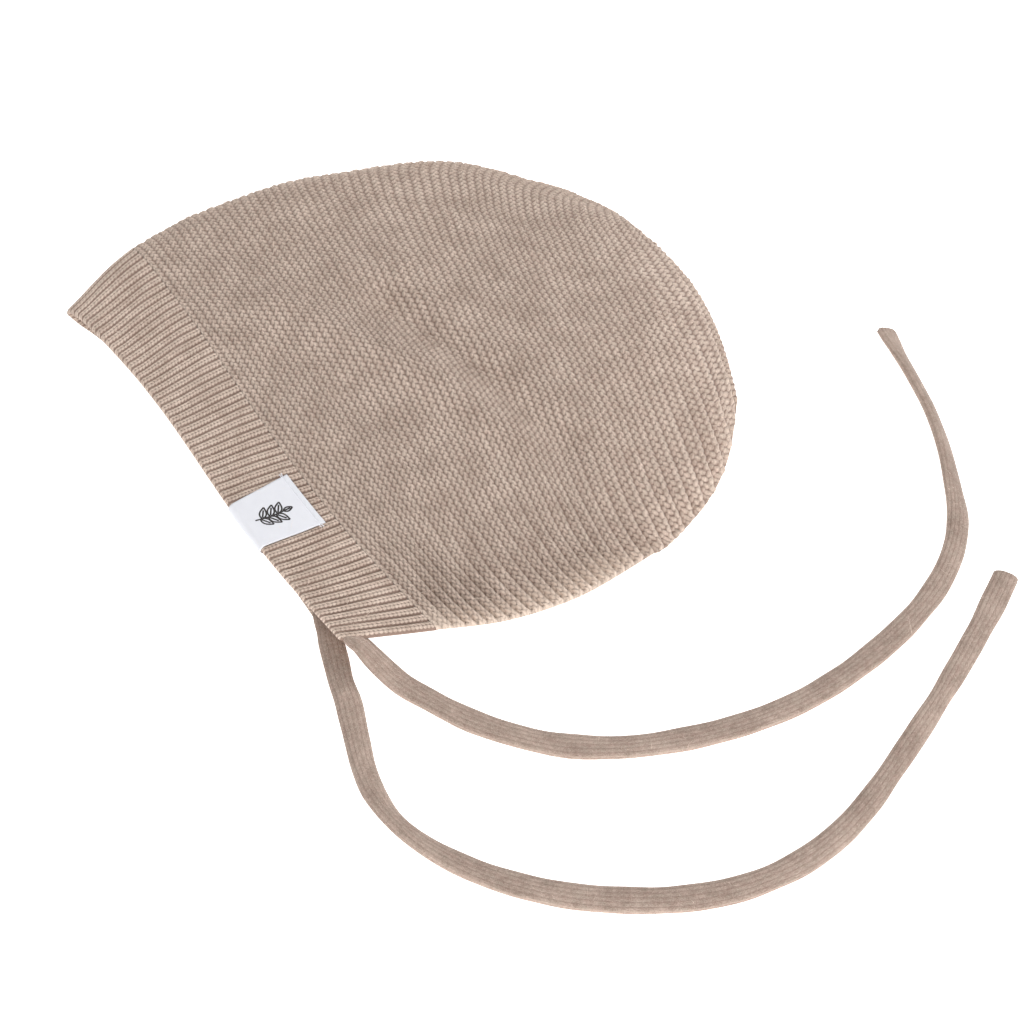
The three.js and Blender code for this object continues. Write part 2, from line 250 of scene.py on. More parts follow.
# How far the ribs' back ends stand towards the chin from their front ends, from fold to chin
RIB_LEAN = dict(zip(("place", "shift"), np.array([
    (0.0, 0.0), (0.06, 0.0045), (0.16, 0.0078), (0.5, 0.0078),
    (0.64, 0.0045), (0.76, 0.0), (0.9, -0.0012), (1.0, 0.0),
]).T))

# Centre lines of the ties, from the chin corner of the upper layer
UPPER_TIE_ROUTE = [
    (0.0039, 0.0003, 0.0093), (0.0035, -0.002, 0.0095), (0.0043, -0.0042, 0.0089),
    (0.0056, -0.0076, 0.0066), (0.0073, -0.0122, 0.0042), (0.0093, -0.0179, 0.0026),
    (0.0133, -0.0261, 0.0017), (0.0156, -0.031, 0.0015), (0.019, -0.0375, 0.0015),
    (0.024, -0.045, 0.0014), (0.034, -0.0565, 0.0014), (0.048, -0.0665, 0.0014),
    (0.064, -0.0735, 0.0014), (0.08, -0.078, 0.0014), (0.096, -0.0802, 0.0014),
    (0.112, -0.0798, 0.0014), (0.129, -0.0772, 0.0014), (0.144, -0.0732, 0.0014),
    (0.157, -0.0678, 0.0014), (0.168, -0.0608, 0.0014), (0.177, -0.052, 0.0014),
    (0.1845, -0.0405, 0.0014), (0.1915, -0.0282, 0.0014), (0.1976, -0.0152, 0.0014),
    (0.2022, -0.002, 0.0014), (0.2064, 0.0115, 0.0014), (0.2101, 0.0226, 0.0014),
]
LOWER_TIE_ROUTE = [
    (0.0062, 0.0232, 0.0013), (0.0052, 0.0196, 0.0013), (0.0038, 0.0154, 0.0014),
    (0.0024, 0.0109, 0.0014), (0.0005, 0.0066, 0.0014), (-0.002, -0.0008, 0.0014),
    (-0.0042, -0.0072, 0.0014),
    (-0.0059, -0.014, 0.0014), (-0.0077, -0.0192, 0.0014), (-0.0105, -0.027, 0.0014),
    (-0.0136, -0.036, 0.0014), (-0.0154, -0.045, 0.0014),
    (-0.0152, -0.055, 0.0014), (-0.0122, -0.0655, 0.0014), (-0.0064, -0.077, 0.0014),
    (0.001, -0.0872, 0.0014), (0.01, -0.0968, 0.0014), (0.0205, -0.1052, 0.0014),
    (0.033, -0.113, 0.0014), (0.048, -0.119, 0.0014), (0.064, -0.1213, 0.0014),
    (0.079, -0.12, 0.0014), (0.092, -0.1163, 0.0014), (0.105, -0.111, 0.0014),
    (0.1215, -0.1038, 0.0014), (0.136, -0.097, 0.0014), (0.1495, -0.0902, 0.0014),
    (0.1625, -0.0832, 0.0014), (0.1756, -0.0756, 0.0014),
]
# How wide and thick a tie is along its length, and how far it is turned over, in degrees
TIE_COLUMNS = ("place", "width", "thickness", "turn")
UPPER_TIE_FORM = [
    (0.0, 0.8, 0.55, 8), (0.012, 0.84, 0.75, 8), (0.05, 0.94, 1.0, 6), (0.2, 0.98, 1.0, 0),
    (0.42, 1.0, 1.0, 4), (0.6, 0.98, 1.0, 0), (0.72, 0.9, 1.05, -12), (0.79, 0.8, 1.15, -38),
    (0.85, 0.76, 1.2, -52), (0.93, 0.76, 1.15, -48), (0.97, 0.84, 1.05, -30), (1.0, 0.88, 1.0, -20),
]
LOWER_TIE_FORM = [
    (0.0, 0.98, 0.6, 0), (0.03, 1.04, 0.9, 0), (0.06, 1.02, 1.0, 0), (0.17, 1.0, 1.0, 4),
    (0.25, 0.82, 1.15, 26), (0.31, 0.88, 1.1, 14), (0.42, 1.02, 1.0, 0), (0.6, 0.98, 1.0, -4),
    (0.74, 0.92, 1.05, -10), (0.83, 0.86, 1.1, -22), (0.92, 0.98, 1.0, -6), (1.0, 1.04, 1.0, 0),
]

# The camera of the photograph
VIEW_AZIMUTH = math.radians(-32.7)
VIEW_ELEVATION = math.radians(48.0)
VIEW_DISTANCE = 0.6514
VIEW_CENTRE = Vector((-0.01205, -0.05808, 0.0))
VIEW_FOCAL_SHARE = 2220 / 1024
SENSOR = 36.0

# Looks: the wool's two tones, its pinker and greyer patches, and the painted shade between its loops
BEIGE = (0.44, 0.334, 0.268)
PALE = (0.88, 0.728, 0.62)
PINKISH = (0.53, 0.375, 0.318)
GREYISH = (0.46, 0.39, 0.32)
PAINTED_LOOP_SHADE = (0.235, 0.155, 0.122)
# The ties' wool is darker than the crown's: partly its own tone, partly painted shade, as one tie lies in
# shade
TIE_BEIGE = (0.19, 0.134, 0.107)
TIE_PALE = (0.53, 0.42, 0.357)
# A painted glow of light near the neck edge: its paler, warmer tone, how strongly it is laid into the
# wool's colour, and its reach in millimetres
GLOWING = (0.88, 0.72, 0.60)
GLOW = 0.75
GLOW_REACH = 10.0
LABEL_WHITE = (0.80, 0.81, 0.86)
LABEL_SHADE = (0.74, 0.75, 0.80)
LABEL_THREADS = 3
INK = (0.03, 0.026, 0.026)
SEED = 7


def make_camera():
    """The photograph's camera. back points from the middle of the view to the camera."""
    back = Vector((
        math.sin(VIEW_AZIMUTH) * math.cos(VIEW_ELEVATION),
        -math.cos(VIEW_AZIMUTH) * math.cos(VIEW_ELEVATION),
        math.sin(VIEW_ELEVATION),
    ))
    data = bpy.data.cameras.new("camera")
    data.sensor_width = SENSOR
    data.lens = SENSOR * VIEW_FOCAL_SHARE
    data.clip_start = 0.01
    camera = bpy.data.objects.new("camera", data)
    camera.location = VIEW_CENTRE + VIEW_DISTANCE * back
    camera.rotation_euler = back.to_track_quat("Z", "Y").to_euler()
    bpy.context.collection.objects.link(camera)
    bpy.context.scene.camera = camera


def smooth_step(start, start_slope, end, end_slope, part):
    """A point on the cubic curve between two points with their slopes, 0 to 1 of the way."""
    square = part ** 2
    cube = part ** 3
    return (
        start * (2 * cube - 3 * square + 1) + start_slope * (cube - 2 * square + part)
        + end * (3 * square - 2 * cube) + end_slope * (cube - square)
    )


def column(table, key, place):
    """A smooth curve through one column of a table, at places counted in its rows."""
    values = table[key]
    rows = np.arange(len(values))
    before = np.maximum(rows - 1, 0)
    after = np.minimum(rows + 1, len(values) - 1)
    slopes = (values[after] - values[before]) / (after - before)
    low = np.clip(np.floor(place).astype(int), 0, len(values) - 2)
    return smooth_step(values[low], slopes[low], values[low + 1], slopes[low + 1], place - low)


def place_of(table, key, value):
    """The places in a table where one of its rising columns reaches some values."""
    places = np.linspace(0, len(table[key]) - 1, 4001)
    return np.interp(value, column(table, key, places), places)


def plan(depth, row):
    """Where points of the knit lie seen from above, the length of their row and their rise."""
    place = place_of(ROWS, "depth", depth)
    fold_x = column(ROWS, "fold_x", place) * DEPTH
    fold_y = column(ROWS, "fold_y", place) * FACE_EDGE
    neck_x = column(ROWS, "neck_x", place) * DEPTH
    neck_y = column(ROWS, "neck_y", place) * FACE_EDGE
    bow = column(ROWS, "bow", place) * DEPTH * np.sin(np.pi * row)
    sway = column(ROWS, "sway", place) * DEPTH * np.sin(2 * np.pi * row)
    bent = (row / HOOK_REACH) * np.exp(1 - row / HOOK_REACH)
    hook = column(ROWS, "hook", place) * DEPTH * bent
    spread = row * np.exp((row - 1) / SPREAD_REACH)
    x = fold_x + (neck_x - fold_x) * row + bow + sway + hook
    x = x + spread * column(SPREAD, "x", place) * DEPTH
    y = fold_y + (neck_y - fold_y) * row + spread * column(SPREAD, "y", place) * FACE_EDGE
    return x, y, np.hypot(neck_x - fold_x, neck_y - fold_y), column(ROWS, "rise", place)


def crease_drop(depth, row):
    """How far the soft creases lower the upper layer."""
    drop = 0
    for crease in CREASES:
        along_x = (crease["to_depth"] - crease["from_depth"]) * DEPTH
        along_y = (crease["to_row"] - crease["from_row"]) * FACE_EDGE
        point_x = (depth - crease["from_depth"]) * DEPTH
        point_y = (row - crease["from_row"]) * FACE_EDGE
        length = math.hypot(along_x, along_y)
        along = (point_x * along_x + point_y * along_y) / length
        aside = (point_x * along_y - point_y * along_x) / length
        past = np.maximum(0, np.maximum(-along, along - length))
        width = crease["width"]
        drop = drop + crease["drop"] * np.exp(-((aside / width) ** 2) - (past / width) ** 2)
    return drop


def rounded(share):
    """0 on a closed edge, rising along a quarter ellipse to 1 where the rounding ends."""
    return np.sqrt(1 - (1 - np.clip(share, 0, 1)) ** 2)


def ramp(distance, reach, start=0.0):
    """start at no distance, rising evenly and held at 1."""
    return np.clip(start + distance / reach, 0, 1)


def bell(off, width):
    """1 in the middle, falling away on both sides."""
    return np.exp(-((off / width) ** 2))


def unit(vectors):
    return vectors / np.maximum(np.linalg.norm(vectors, axis=-1, keepdims=True), 1e-12)


def run_of(points):
    """How far along its line each point lies."""
    run = np.cumsum(np.linalg.norm(np.diff(points, axis=-2), axis=-1), axis=-1)
    return np.concatenate([np.zeros_like(run[..., :1]), run], axis=-1)


def grid_pairs(across, along):
    """Every pair of two lists of numbers, row by row."""
    grid = np.meshgrid(across, along)
    return np.stack([grid[0].ravel(), grid[1].ravel()], 1)


def knit(share, across, inset=0.0, closed_back=False):
    """Points of the knit, from the chin corner. share is the depth from the face edge, and across
    runs from -1 at the lower layer's neck edge, through 0 on the fold, to 1 at the upper one's.
    inset is how far inside the surface they lie, with closed_back behind the back edge too."""
    share, across = np.broadcast_arrays(np.asarray(share, float), np.asarray(across, float))
    lower = across < 0
    closed = share >= NAPE_SHARE
    depth = share
    if closed_back:
        depth = BAND_SHARE + (share - BAND_SHARE) * (1 - inset / (DEPTH * (1 - BAND_SHARE)))
    fold_inset = inset / plan(depth, 0.0)[2]
    neck_inset = np.where(closed, fold_inset, 0)
    row = fold_inset + np.abs(across) * (1 - fold_inset - neck_inset)
    to_nape = np.maximum(0, NAPE_SHARE - share) * DEPTH
    face_hold = np.clip(4 * np.abs(across) * (1 - np.abs(across)), 0, 1) ** FACE_HOLD
    depth = depth + np.where(lower, (FACE_SETBACK / DEPTH) * face_hold * (1 - share) ** 2, 0)
    row = row * np.where(lower, 1 - (CHIN_SETBACK / FACE_EDGE) * rounded(to_nape / NAPE_CLOSING), 1)
    x, y, row_length, rise = plan(depth, row)
    from_fold = row * row_length - inset
    from_back = (1 - depth) * DEPTH - (inset if closed_back else 0)
    from_neck = np.maximum(0, (1 - row) * row_length - inset)
    from_nape = np.where(closed, 0, (NAPE_SHARE - depth) * DEPTH - inset)
    reach = np.where(lower, LOWER_ROUNDING, UPPER_ROUNDING) - inset
    nape_reach = np.where(lower, LOWER_ROUNDING, NAPE_CLOSING) - inset
    neck_share = np.hypot(from_neck / reach, np.maximum(0, from_nape) / nape_reach)
    spread = rounded(from_fold / reach) * rounded(from_back / reach) * rounded(neck_share)
    fullness = column(FULLNESS, "share", place_of(FULLNESS, "place", np.minimum(row, 1)))
    domed = EDGE_HEIGHT + (CROWN_HEIGHT - EDGE_HEIGHT) * rise * fullness
    top = domed - crease_drop(depth, row) * rise * fullness
    upper_z = FOLD_HEIGHT + (top - inset - FOLD_HEIGHT) * spread
    lower_z = FOLD_HEIGHT - (FOLD_HEIGHT - inset) * spread
    return np.stack([x, y, np.where(lower, lower_z, upper_z)], axis=-1)


def chin_corner():
    """Where the upper layer's chin corner lies: the bonnet's own box is laid on its solids' box."""
    own = knit(np.linspace(0, 1, 400)[:, None], np.linspace(-1, 1, 801)[None, :]).reshape(-1, 3)
    boxes = [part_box("crown"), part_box("front_band")]
    low = np.min([box[0][:] for box in boxes], axis=0)
    high = np.max([box[1][:] for box in boxes], axis=0)
    middle = (low + high) / 2 - (own.min(axis=0) + own.max(axis=0)) / 2
    return np.array([middle[0], middle[1], 0.0])


def waves(seed, count, shortest, longest):
    """A smooth field of small waves in two directions, about -1 to 1."""
    draw = np.random.default_rng(seed)
    turn = draw.uniform(0, 2 * np.pi, count)
    rate = 2 * np.pi / draw.uniform(shortest, longest, count)
    start = draw.uniform(0, 2 * np.pi, count)

    def field(x, y):
        total = 0
        for k in range(count):
            along = x * math.cos(turn[k]) + y * math.sin(turn[k])
            total = total + np.sin(rate[k] * along + start[k])
        return total / math.sqrt(count)

    return field


def add_mesh(name, points, faces, uvs, material, rims=None):
    """An object from points, faces, the stitch count at each point, and where it is given, each
    point's distance from the neck edge in millimetres."""
    mesh = bpy.data.meshes.new(name)
    mesh.from_pydata(points.tolist(), [], faces.tolist())
    corners = np.empty(len(mesh.loops), np.int32)
    mesh.loops.foreach_get("vertex_index", corners)
    mesh.uv_layers.new(name="stitches")
    mesh.uv_layers["stitches"].data.foreach_set("uv", uvs[corners].astype(np.float32).ravel())
    if rims is not None:
        pairs = np.stack([rims, np.zeros(len(rims))], 1)
        mesh.uv_layers.new(name="rim")
        mesh.uv_layers["rim"].data.foreach_set("uv", pairs[corners].astype(np.float32).ravel())
    mesh.polygons.foreach_set("use_smooth", np.ones(len(mesh.polygons), bool))
    mesh.materials.append(material)
    mesh.validate()
    piece = bpy.data.objects.new(name, mesh)
    bpy.context.collection.objects.link(piece)
    return piece


def grid_triangles(index):
    """Triangles over a grid of point numbers, with crossed diagonals, leaving out empty ones."""
    a = index[:-1, :-1].ravel()
    b = index[:-1, 1:].ravel()
    c = index[1:, 1:].ravel()
    d = index[1:, :-1].ravel()
    rows, columns = np.indices((index.shape[0] - 1, index.shape[1] - 1))
    even = ((rows + columns) % 2 == 0).ravel()
    first = np.where(even[:, None], np.stack([a, b, d], 1), np.stack([a, b, c], 1))
    second = np.where(even[:, None], np.stack([b, c, d], 1), np.stack([a, c, d], 1))
    faces = np.concatenate([first, second])
    full = (faces[:, 0] != faces[:, 1]) & (faces[:, 1] != faces[:, 2]) & (faces[:, 2] != faces[:, 0])
    return faces[full]


def zipped(left, right):
    """Triangles between two lines of points that run side by side, of any two counts."""
    faces = []
    i = 0
    j = 0
    while i < len(left) - 1 or j < len(right) - 1:
        left_next = (i + 1) / (len(left) - 1)
        right_next = (j + 1) / (len(right) - 1)
        if j == len(right) - 1 or (i < len(left) - 1 and left_next <= right_next):
            faces.append((left[i], left[i + 1], right[j]))
            i += 1
        else:
            faces.append((left[i], right[j + 1], right[j]))
            j += 1
    return np.array(faces)


def point_normals(points, faces):
    """The normals at points, from the faces round them."""
    a, b, c = (points[faces[:, k]] for k in range(3))
    across = np.cross(b - a, c - a)
    normals = np.zeros_like(points)
    for k in range(3):
        np.add.at(normals, faces[:, k], across)
    return unit(normals)


def garter_height(u, v):
    """Height of the garter stitch, 0 to 1, at a count of stitches and of ridges: two lines of loops
    to a ridge, each set half a stitch along from the next, with a line's middle where v is 0."""
    line = 2 * v + 0.5 + 1e-6
    way = 1 - 2 * (np.floor(line) % 2)
    aside = line % 1 - 0.5
    along = (u + 0.25 * way + 0.25 + 1e-6) % 1 - 0.5
    beside = 1 - np.abs(aside)
    along_next = (along + 1) % 1 - 0.5
    tallest = 0
    for a, b, slant in ((along, aside, way), (along_next, beside, way * np.sign(aside))):
        shape = 1 - ((a + LOOP_SLANT * b * slant) / LOOP_LENGTH) ** 2 - (b / LOOP_WIDTH) ** 2
        tallest = np.maximum(tallest, shape)
    ridge = 0.5 + 0.5 * np.cos(2 * np.pi * (v - 0.25))
    return (1 - RIDGE_SHARE) * np.sqrt(tallest) + RIDGE_SHARE * ridge


def rib_height(u):
    """Height across the ribs, 0 to 1: the two legs of a knit wale and a narrow furrow beside them."""
    off = np.abs(u % 1 - 0.5) * 2
    wale = np.sqrt(np.clip(1 - off ** RIB_STEEPNESS, 0, 1))
    return wale * (1 - RIB_DIP * bell(off, RIB_DIP_WIDTH))


def measured_rows(shares):
    """Places over both layers of each row, and how far along the row each lies from the middle of
    the upper layer."""
    half = (1 - np.cos(np.pi * np.linspace(0, 1, 700))) / 2
    across = np.concatenate([-half[:0:-1], half])
    along = run_of(knit(shares[:, None], across[None, :]))
    middle = np.array([np.interp(0.5, across, row) for row in along])
    return across, along - middle[:, None]


# Fields of the upper layer's swells and of the shifted loops, and a height for each loop
swell = waves(SEED, 9, 0.022, 0.06)
drift = waves(SEED + 1, 8, 0.012, 0.04)
unevenness = np.random.default_rng(SEED + 2).uniform(*LOOP_HEIGHTS, (400, 400))


def crown_rows(shares, across, along, start, end, upper):
    """A layer before its stitches are raised: its points, their counts of stitches and ridges, the
    grid of their numbers, and the rows of its inside. Each row runs from its start to its end."""
    step = STITCH / SAMPLES
    columns = np.arange(math.floor(start.min() / step), math.ceil(end.max() / step) + 1)
    index = np.empty((len(shares), len(columns)), int)
    points = []
    uvs = []
    insides = []
    count = 0
    for i, share in enumerate(shares):
        low = math.ceil(start[i] / step + ROW_END_GAP)
        high = math.floor(end[i] / step - ROW_END_GAP)
        places = np.concatenate([[start[i]], np.arange(low, high + 1) * step, [end[i]]])
        index[i] = count + np.clip(columns - low + 1, 0, len(places) - 1)
        count += len(places)
        ridge = i / SAMPLES
        loose = np.minimum(1, np.minimum(places - start[i], end[i] - places) / (4 * STITCH))
        hold = min(1, min(i, len(shares) - 1 - i) / (3 * SAMPLES))
        moved = places + SHIFT_ALONG * loose * drift(places, ridge * RIDGE)
        depth_moved = share + SHIFT_OVER / DEPTH * loose * hold * drift(ridge * RIDGE, places)
        a = np.interp(moved, along[i], across)
        outer = knit(depth_moved, a)
        inner = knit(depth_moved, a, BODY_WALL, closed_back=True)
        to_neck = end[i] - places if upper else places - start[i]
        thick = rounded(to_neck / EDGE_ROUND) if share < NAPE_SHARE else np.ones(len(places))
        middle = (outer + inner) / 2
        points.append(middle + (outer - middle) * thick[:, None])
        insides.append(middle + (inner - middle) * thick[:, None])
        uvs.append(np.stack([places / STITCH, np.full(len(places), ridge)], 1))
    return np.concatenate(points), np.concatenate(uvs), index, insides


def crown_lift(u, v, to_neck, closed, upper):
    """How far the loops, the sewn back edge, the swells and the gathers lift a layer's points."""
    back = (RIDGES - v) * RIDGE
    to_edge = np.minimum(to_neck, back)
    to_seam = np.where(closed, to_edge, back)
    fade = ramp(to_edge, STITCHES_FROM_EDGE) * np.clip(v * 3, 0.3, 1)
    line = np.floor(2 * v + 0.5).astype(int) % len(unevenness)
    loop = np.floor(u).astype(int) % len(unevenness)
    height = garter_height(u, v) * unevenness[line, loop]
    lift = (height - (UPPER_SINK if upper else LOWER_SINK)) * GARTER_RELIEF * fade
    seam_along = np.where(to_neck < back, v * RIDGE, u * STITCH)
    groove = bell(to_seam - GROOVE_PLACE, GROOVE_WIDTH)
    lumps = bell(to_seam - LUMP_PLACE, LUMP_WIDTH) * np.sin(seam_along * 2 * np.pi / LUMP_SPACING)
    lift = lift - GROOVE_DEPTH * groove + LUMP_HEIGHT * lumps
    if not upper:
        return np.minimum(lift, 0)
    away = ramp(to_edge, SWELL_FROM_EDGE) * ramp(v * RIDGE, SWELL_FROM_BAND)
    lift = lift + SWELL * away * swell(u * STITCH, v * RIDGE)
    gathered = bell(to_neck, GATHER_REACH) * ramp(v, GATHER_RIDGES)
    return lift + GATHER_HEIGHT * gathered * fade * np.cos(np.pi * v)


def crown_inside(insides):
    """The inside of a layer, with a few columns to each row."""
    points = []
    for row in insides:
        place = np.linspace(0, 1, INSIDE_COLUMNS) * (len(row) - 1)
        points += [[np.interp(place, np.arange(len(row)), row[:, k]) for k in range(3)]]
    uvs = grid_pairs(np.arange(INSIDE_COLUMNS) * INSIDE_STITCHES, np.arange(len(insides)) / SAMPLES)
    return np.array(points).transpose(0, 2, 1).reshape(-1, 3), uvs


def crown_layer(name, upper, corner, material):
    """One layer of the garter-stitch bag: its outside stitch by stitch, its inside plainer, and
    rounded edges where it is open."""
    left = np.linspace(1, 0, RIDGES * SAMPLES + 1)
    shares = 1 - (1 - BAND_SHARE) * left * (1 - BACK_CROWDING * np.exp(-left / BACK_CROWDING_REACH))
    across, along = measured_rows(shares)
    split = np.array([np.interp(SPLIT, across, row) for row in along])
    start, end = (split, along[:, -1]) if upper else (along[:, 0], split)
    points, uvs, index, insides = crown_rows(shares, across, along, start, end, upper)
    u, v = uvs[:, 0], uvs[:, 1]
    row = np.minimum((v * SAMPLES + 0.5).astype(int), len(shares) - 1)
    to_neck = end[row] - u * STITCH if upper else u * STITCH - start[row]
    faces = grid_triangles(index)
    lift = crown_lift(u, v, to_neck, shares[row] >= NAPE_SHARE, upper)
    points = points + lift[:, None] * point_normals(points, faces)
    points[:, 2] = np.maximum(points[:, 2], 0)
    inner_points, inner_uvs = crown_inside(insides)
    inner_index = len(points) + np.arange(len(inner_points)).reshape(len(shares), -1)
    inner_faces = grid_triangles(inner_index)[:, ::-1]
    front = zipped(inner_index[0], np.unique(index[0]))
    # Distances for the painted glow of light: farther off towards the nape so that it fades there, and
    # none on the inside
    dimming = NAPE_DIMMING * ramp(shares[row] - NAPE_SHARE + DIMMING_START, DIMMING_REACH)
    rims = np.concatenate([to_neck * 1000 + dimming, np.full(len(inner_uvs), NO_GLOW)])
    points = np.concatenate([points, inner_points]) + corner
    uvs = np.concatenate([uvs, inner_uvs])
    return add_mesh(name, points, np.concatenate([faces, inner_faces, front]), uvs, material, rims)


def band(corner, material):
    """The ribbed band, both layers in one, with rounded edges at the face and at the chin."""
    steps = round(BAND_WIDTH / RIB_STITCH) * 2
    shares = np.linspace(0, 1, steps + 1) ** FACE_CROWDING * BAND_SHARE
    across, along = measured_rows(shares)
    ribs = round((along[0, -1] - along[0, 0]) / RIB / 2) * 2
    part = np.linspace(-1, 1, ribs * RIB_SAMPLES + 1)
    from_fold = np.abs(part)
    crowded = from_fold - RIB_CROWDING / (2 * np.pi) * np.sin(2 * np.pi * from_fold)
    lean = column(RIB_LEAN, "shift", place_of(RIB_LEAN, "place", from_fold))
    wander = waves(SEED + 3, 6, 0.02, 0.07)
    strength = waves(SEED + 4, 7, 0.006, 0.02)
    held = np.clip(np.minimum(from_fold, 1 - from_fold) * 12, 0, 1)
    u = (part + 1) / 2 * ribs
    outers = []
    inners = []
    uvs = []
    for i, share in enumerate(shares):
        depth = share * DEPTH
        fold = np.interp(0, across, along[i])
        length = np.where(part < 0, fold - along[i, 0], along[i, -1] - fold)
        shift = lean * (share / BAND_SHARE) + RIB_WANDER * held * wander(part * FACE_EDGE, depth)
        a = np.interp(fold + np.sign(part) * (crowded * length + shift), along[i], across)
        outer = knit(share, a)
        inner = knit(share, a, BAND_WALL)
        thick = rounded((1 - from_fold) * length / EDGE_ROUND) * rounded(depth / EDGE_ROUND)
        middle = (outer + inner) / 2
        relief = RIB_RELIEF * (1 + RIB_VARIATION * strength(part * FACE_EDGE, depth))
        relief = relief * ramp(BAND_WIDTH - depth, *RIB_FADE_BACK) * ramp(depth, *RIB_FADE_FACE)
        sunk = 1 - (1 - rib_height(u)) * (relief / BAND_WALL) * 2
        outers.append(middle + (outer - middle) * (thick * sunk)[:, None])
        inners.append(middle + (inner - middle) * (thick * (2 - sunk) * 0.75)[:, None])
        uvs.append(np.stack([u, np.full(len(part), depth / RIB_STITCH)], 1))

    # Round the section: the outside from the crown to the face edge, then the inside and back
    inside = list(range(0, len(shares), INSIDE_EVERY))[1:]
    rows = outers[::-1] + [inners[i] for i in inside]
    row_uvs = uvs[::-1] + [uvs[i] for i in inside]
    index = np.arange(len(rows) * len(part)).reshape(len(rows), -1)
    faces = grid_triangles(np.concatenate([index, index[:1]]))[:, ::-1]
    points = np.concatenate(rows) + corner
    return add_mesh("ribbed_band", points, faces, np.concatenate(row_uvs), material)


def smooth_route(route, spacing):
    """Evenly spaced points on a centripetal Catmull-Rom curve through the route's points."""
    points = np.array(route, float)
    ends = [2 * points[0] - points[1], *points, 2 * points[-1] - points[-2]]
    dense = []
    for p0, p1, p2, p3 in zip(ends, ends[1:], ends[2:], ends[3:]):
        d0, d1, d2 = (math.dist(p, q) ** 0.5 for p, q in ((p0, p1), (p1, p2), (p2, p3)))
        slope1 = ((p1 - p0) / d0 - (p2 - p0) / (d0 + d1) + (p2 - p1) / d1) * d1
        slope2 = ((p2 - p1) / d1 - (p3 - p1) / (d1 + d2) + (p3 - p2) / d2) * d1
        for part in np.linspace(0, 1, 24, endpoint=False):
            dense.append(smooth_step(p1, slope1, p2, slope2, part))
    dense = np.array(dense + [points[-1]])
    along = run_of(dense)
    at = np.linspace(0, along[-1], math.ceil(along[-1] / spacing) + 1)
    return np.stack([np.interp(at, along, dense[:, k]) for k in range(3)], 1), at


def squarish(angles):
    """Where the outline of a tie runs at some angles, across and above its middle, -1 to 1."""
    return [np.sign(way) * np.abs(way) ** TIE_SQUARENESS for way in (np.cos(angles), np.sin(angles))]


def tie(name, route, form, corner, material):
    """A flat knitted tube along its route, with its middle line and its length."""
    line, at = smooth_route(np.array(route) + corner, TIE_STITCH / 3)
    length = at[-1]
    table = dict(zip(TIE_COLUMNS, np.array(form, float).T))
    place = np.clip(place_of(table, "place", at / length), 0, len(form) - 1)
    ends = rounded(at / TIE_START_ROUND) * rounded((length - at) / TIE_END_ROUND)
    wobble = waves(SEED + 17, 5, 0.012, 0.03)
    half_width = column(table, "width", place) * TIE_WIDTH / 2 * (1 + TIE_WOBBLE * wobble(at, 0 * at))
    half_thick = column(table, "thickness", place) * TIE_THICKNESS / 2
    turn = np.radians(column(table, "turn", place))
    line[:, 2] = np.maximum(line[:, 2], half_thick)
    tangents = unit(np.gradient(line, axis=0))
    side = unit(np.cross(tangents, (0.0, 0.0, 1.0)))
    up = np.cross(side, tangents)

    # The section's points, evenly spaced along its outline
    ring = 4 * TIE_WALES
    angles = np.linspace(0, 2 * np.pi, ring + 1)
    run = run_of(np.stack(squarish(angles), 1) * (TIE_WIDTH, TIE_THICKNESS))
    across, above = squarish(np.interp(np.linspace(0, run[-1], ring + 1), run, angles))
    wale = np.linspace(0, TIE_WALES, ring + 1)
    grooved = 1 - TIE_WALE_DEPTH * np.cos(2 * np.pi * wale)
    x = (half_width * ends)[:, None] * across * grooved
    y = (half_thick * ends)[:, None] * above * grooved
    cos = np.cos(turn)[:, None]
    sin = np.sin(turn)[:, None]
    points = (
        line[:, None, :]
        + side[:, None, :] * (x * cos - y * sin)[:, :, None]
        + up[:, None, :] * (x * sin + y * cos)[:, :, None]
    )
    sunk = np.maximum(0, OFF_TABLE - points[:, :, 2].min(axis=1))
    points[:, :, 2] += sunk[:, None]
    line[:, 2] += sunk
    index = np.arange(points.shape[0] * points.shape[1]).reshape(points.shape[:2])
    uvs = grid_pairs(wale, at / TIE_STITCH)
    piece = add_mesh(name, points.reshape(-1, 3), grid_triangles(index), uvs, material)
    return piece, line, float(length)


def label_point(across, out, lift):
    """A point on the folded label: out runs from -1 at the inner leaf's edge through 0 on the
    front edge to 1 at the outer leaf's edge, and lift is the distance from the band."""
    depth = np.abs(out) * LABEL_DEPTH
    share = np.maximum(depth, EDGE_ROUND) / DEPTH
    outer = knit(share, across)
    inner = knit(share, across, BAND_WALL)
    middle = (outer + inner) / 2
    half = np.linalg.norm(outer - inner, axis=-1) / 2 + LABEL_CLEARANCE + lift
    round_part = rounded(depth / (EDGE_ROUND + LABEL_CLEARANCE + lift))
    middle[..., 0] -= np.maximum(EDGE_ROUND - depth, 0) + (1 - round_part) * LABEL_CLEARANCE
    middle[..., 2] += np.sign(out) * half * round_part
    return middle


def label_lift(across, out):
    """How far the label stands off the band: a slight wave, and a groove along the sewn line."""
    waver = waves(SEED + 5, 6, 0.008, 0.02)
    wave = 0.00006 * (3 + waver(across * FACE_EDGE, out * LABEL_DEPTH))
    return wave - LABEL_GROOVE * bell(out * LABEL_DEPTH - LABEL_SEAM, LABEL_GROOVE_WIDTH)


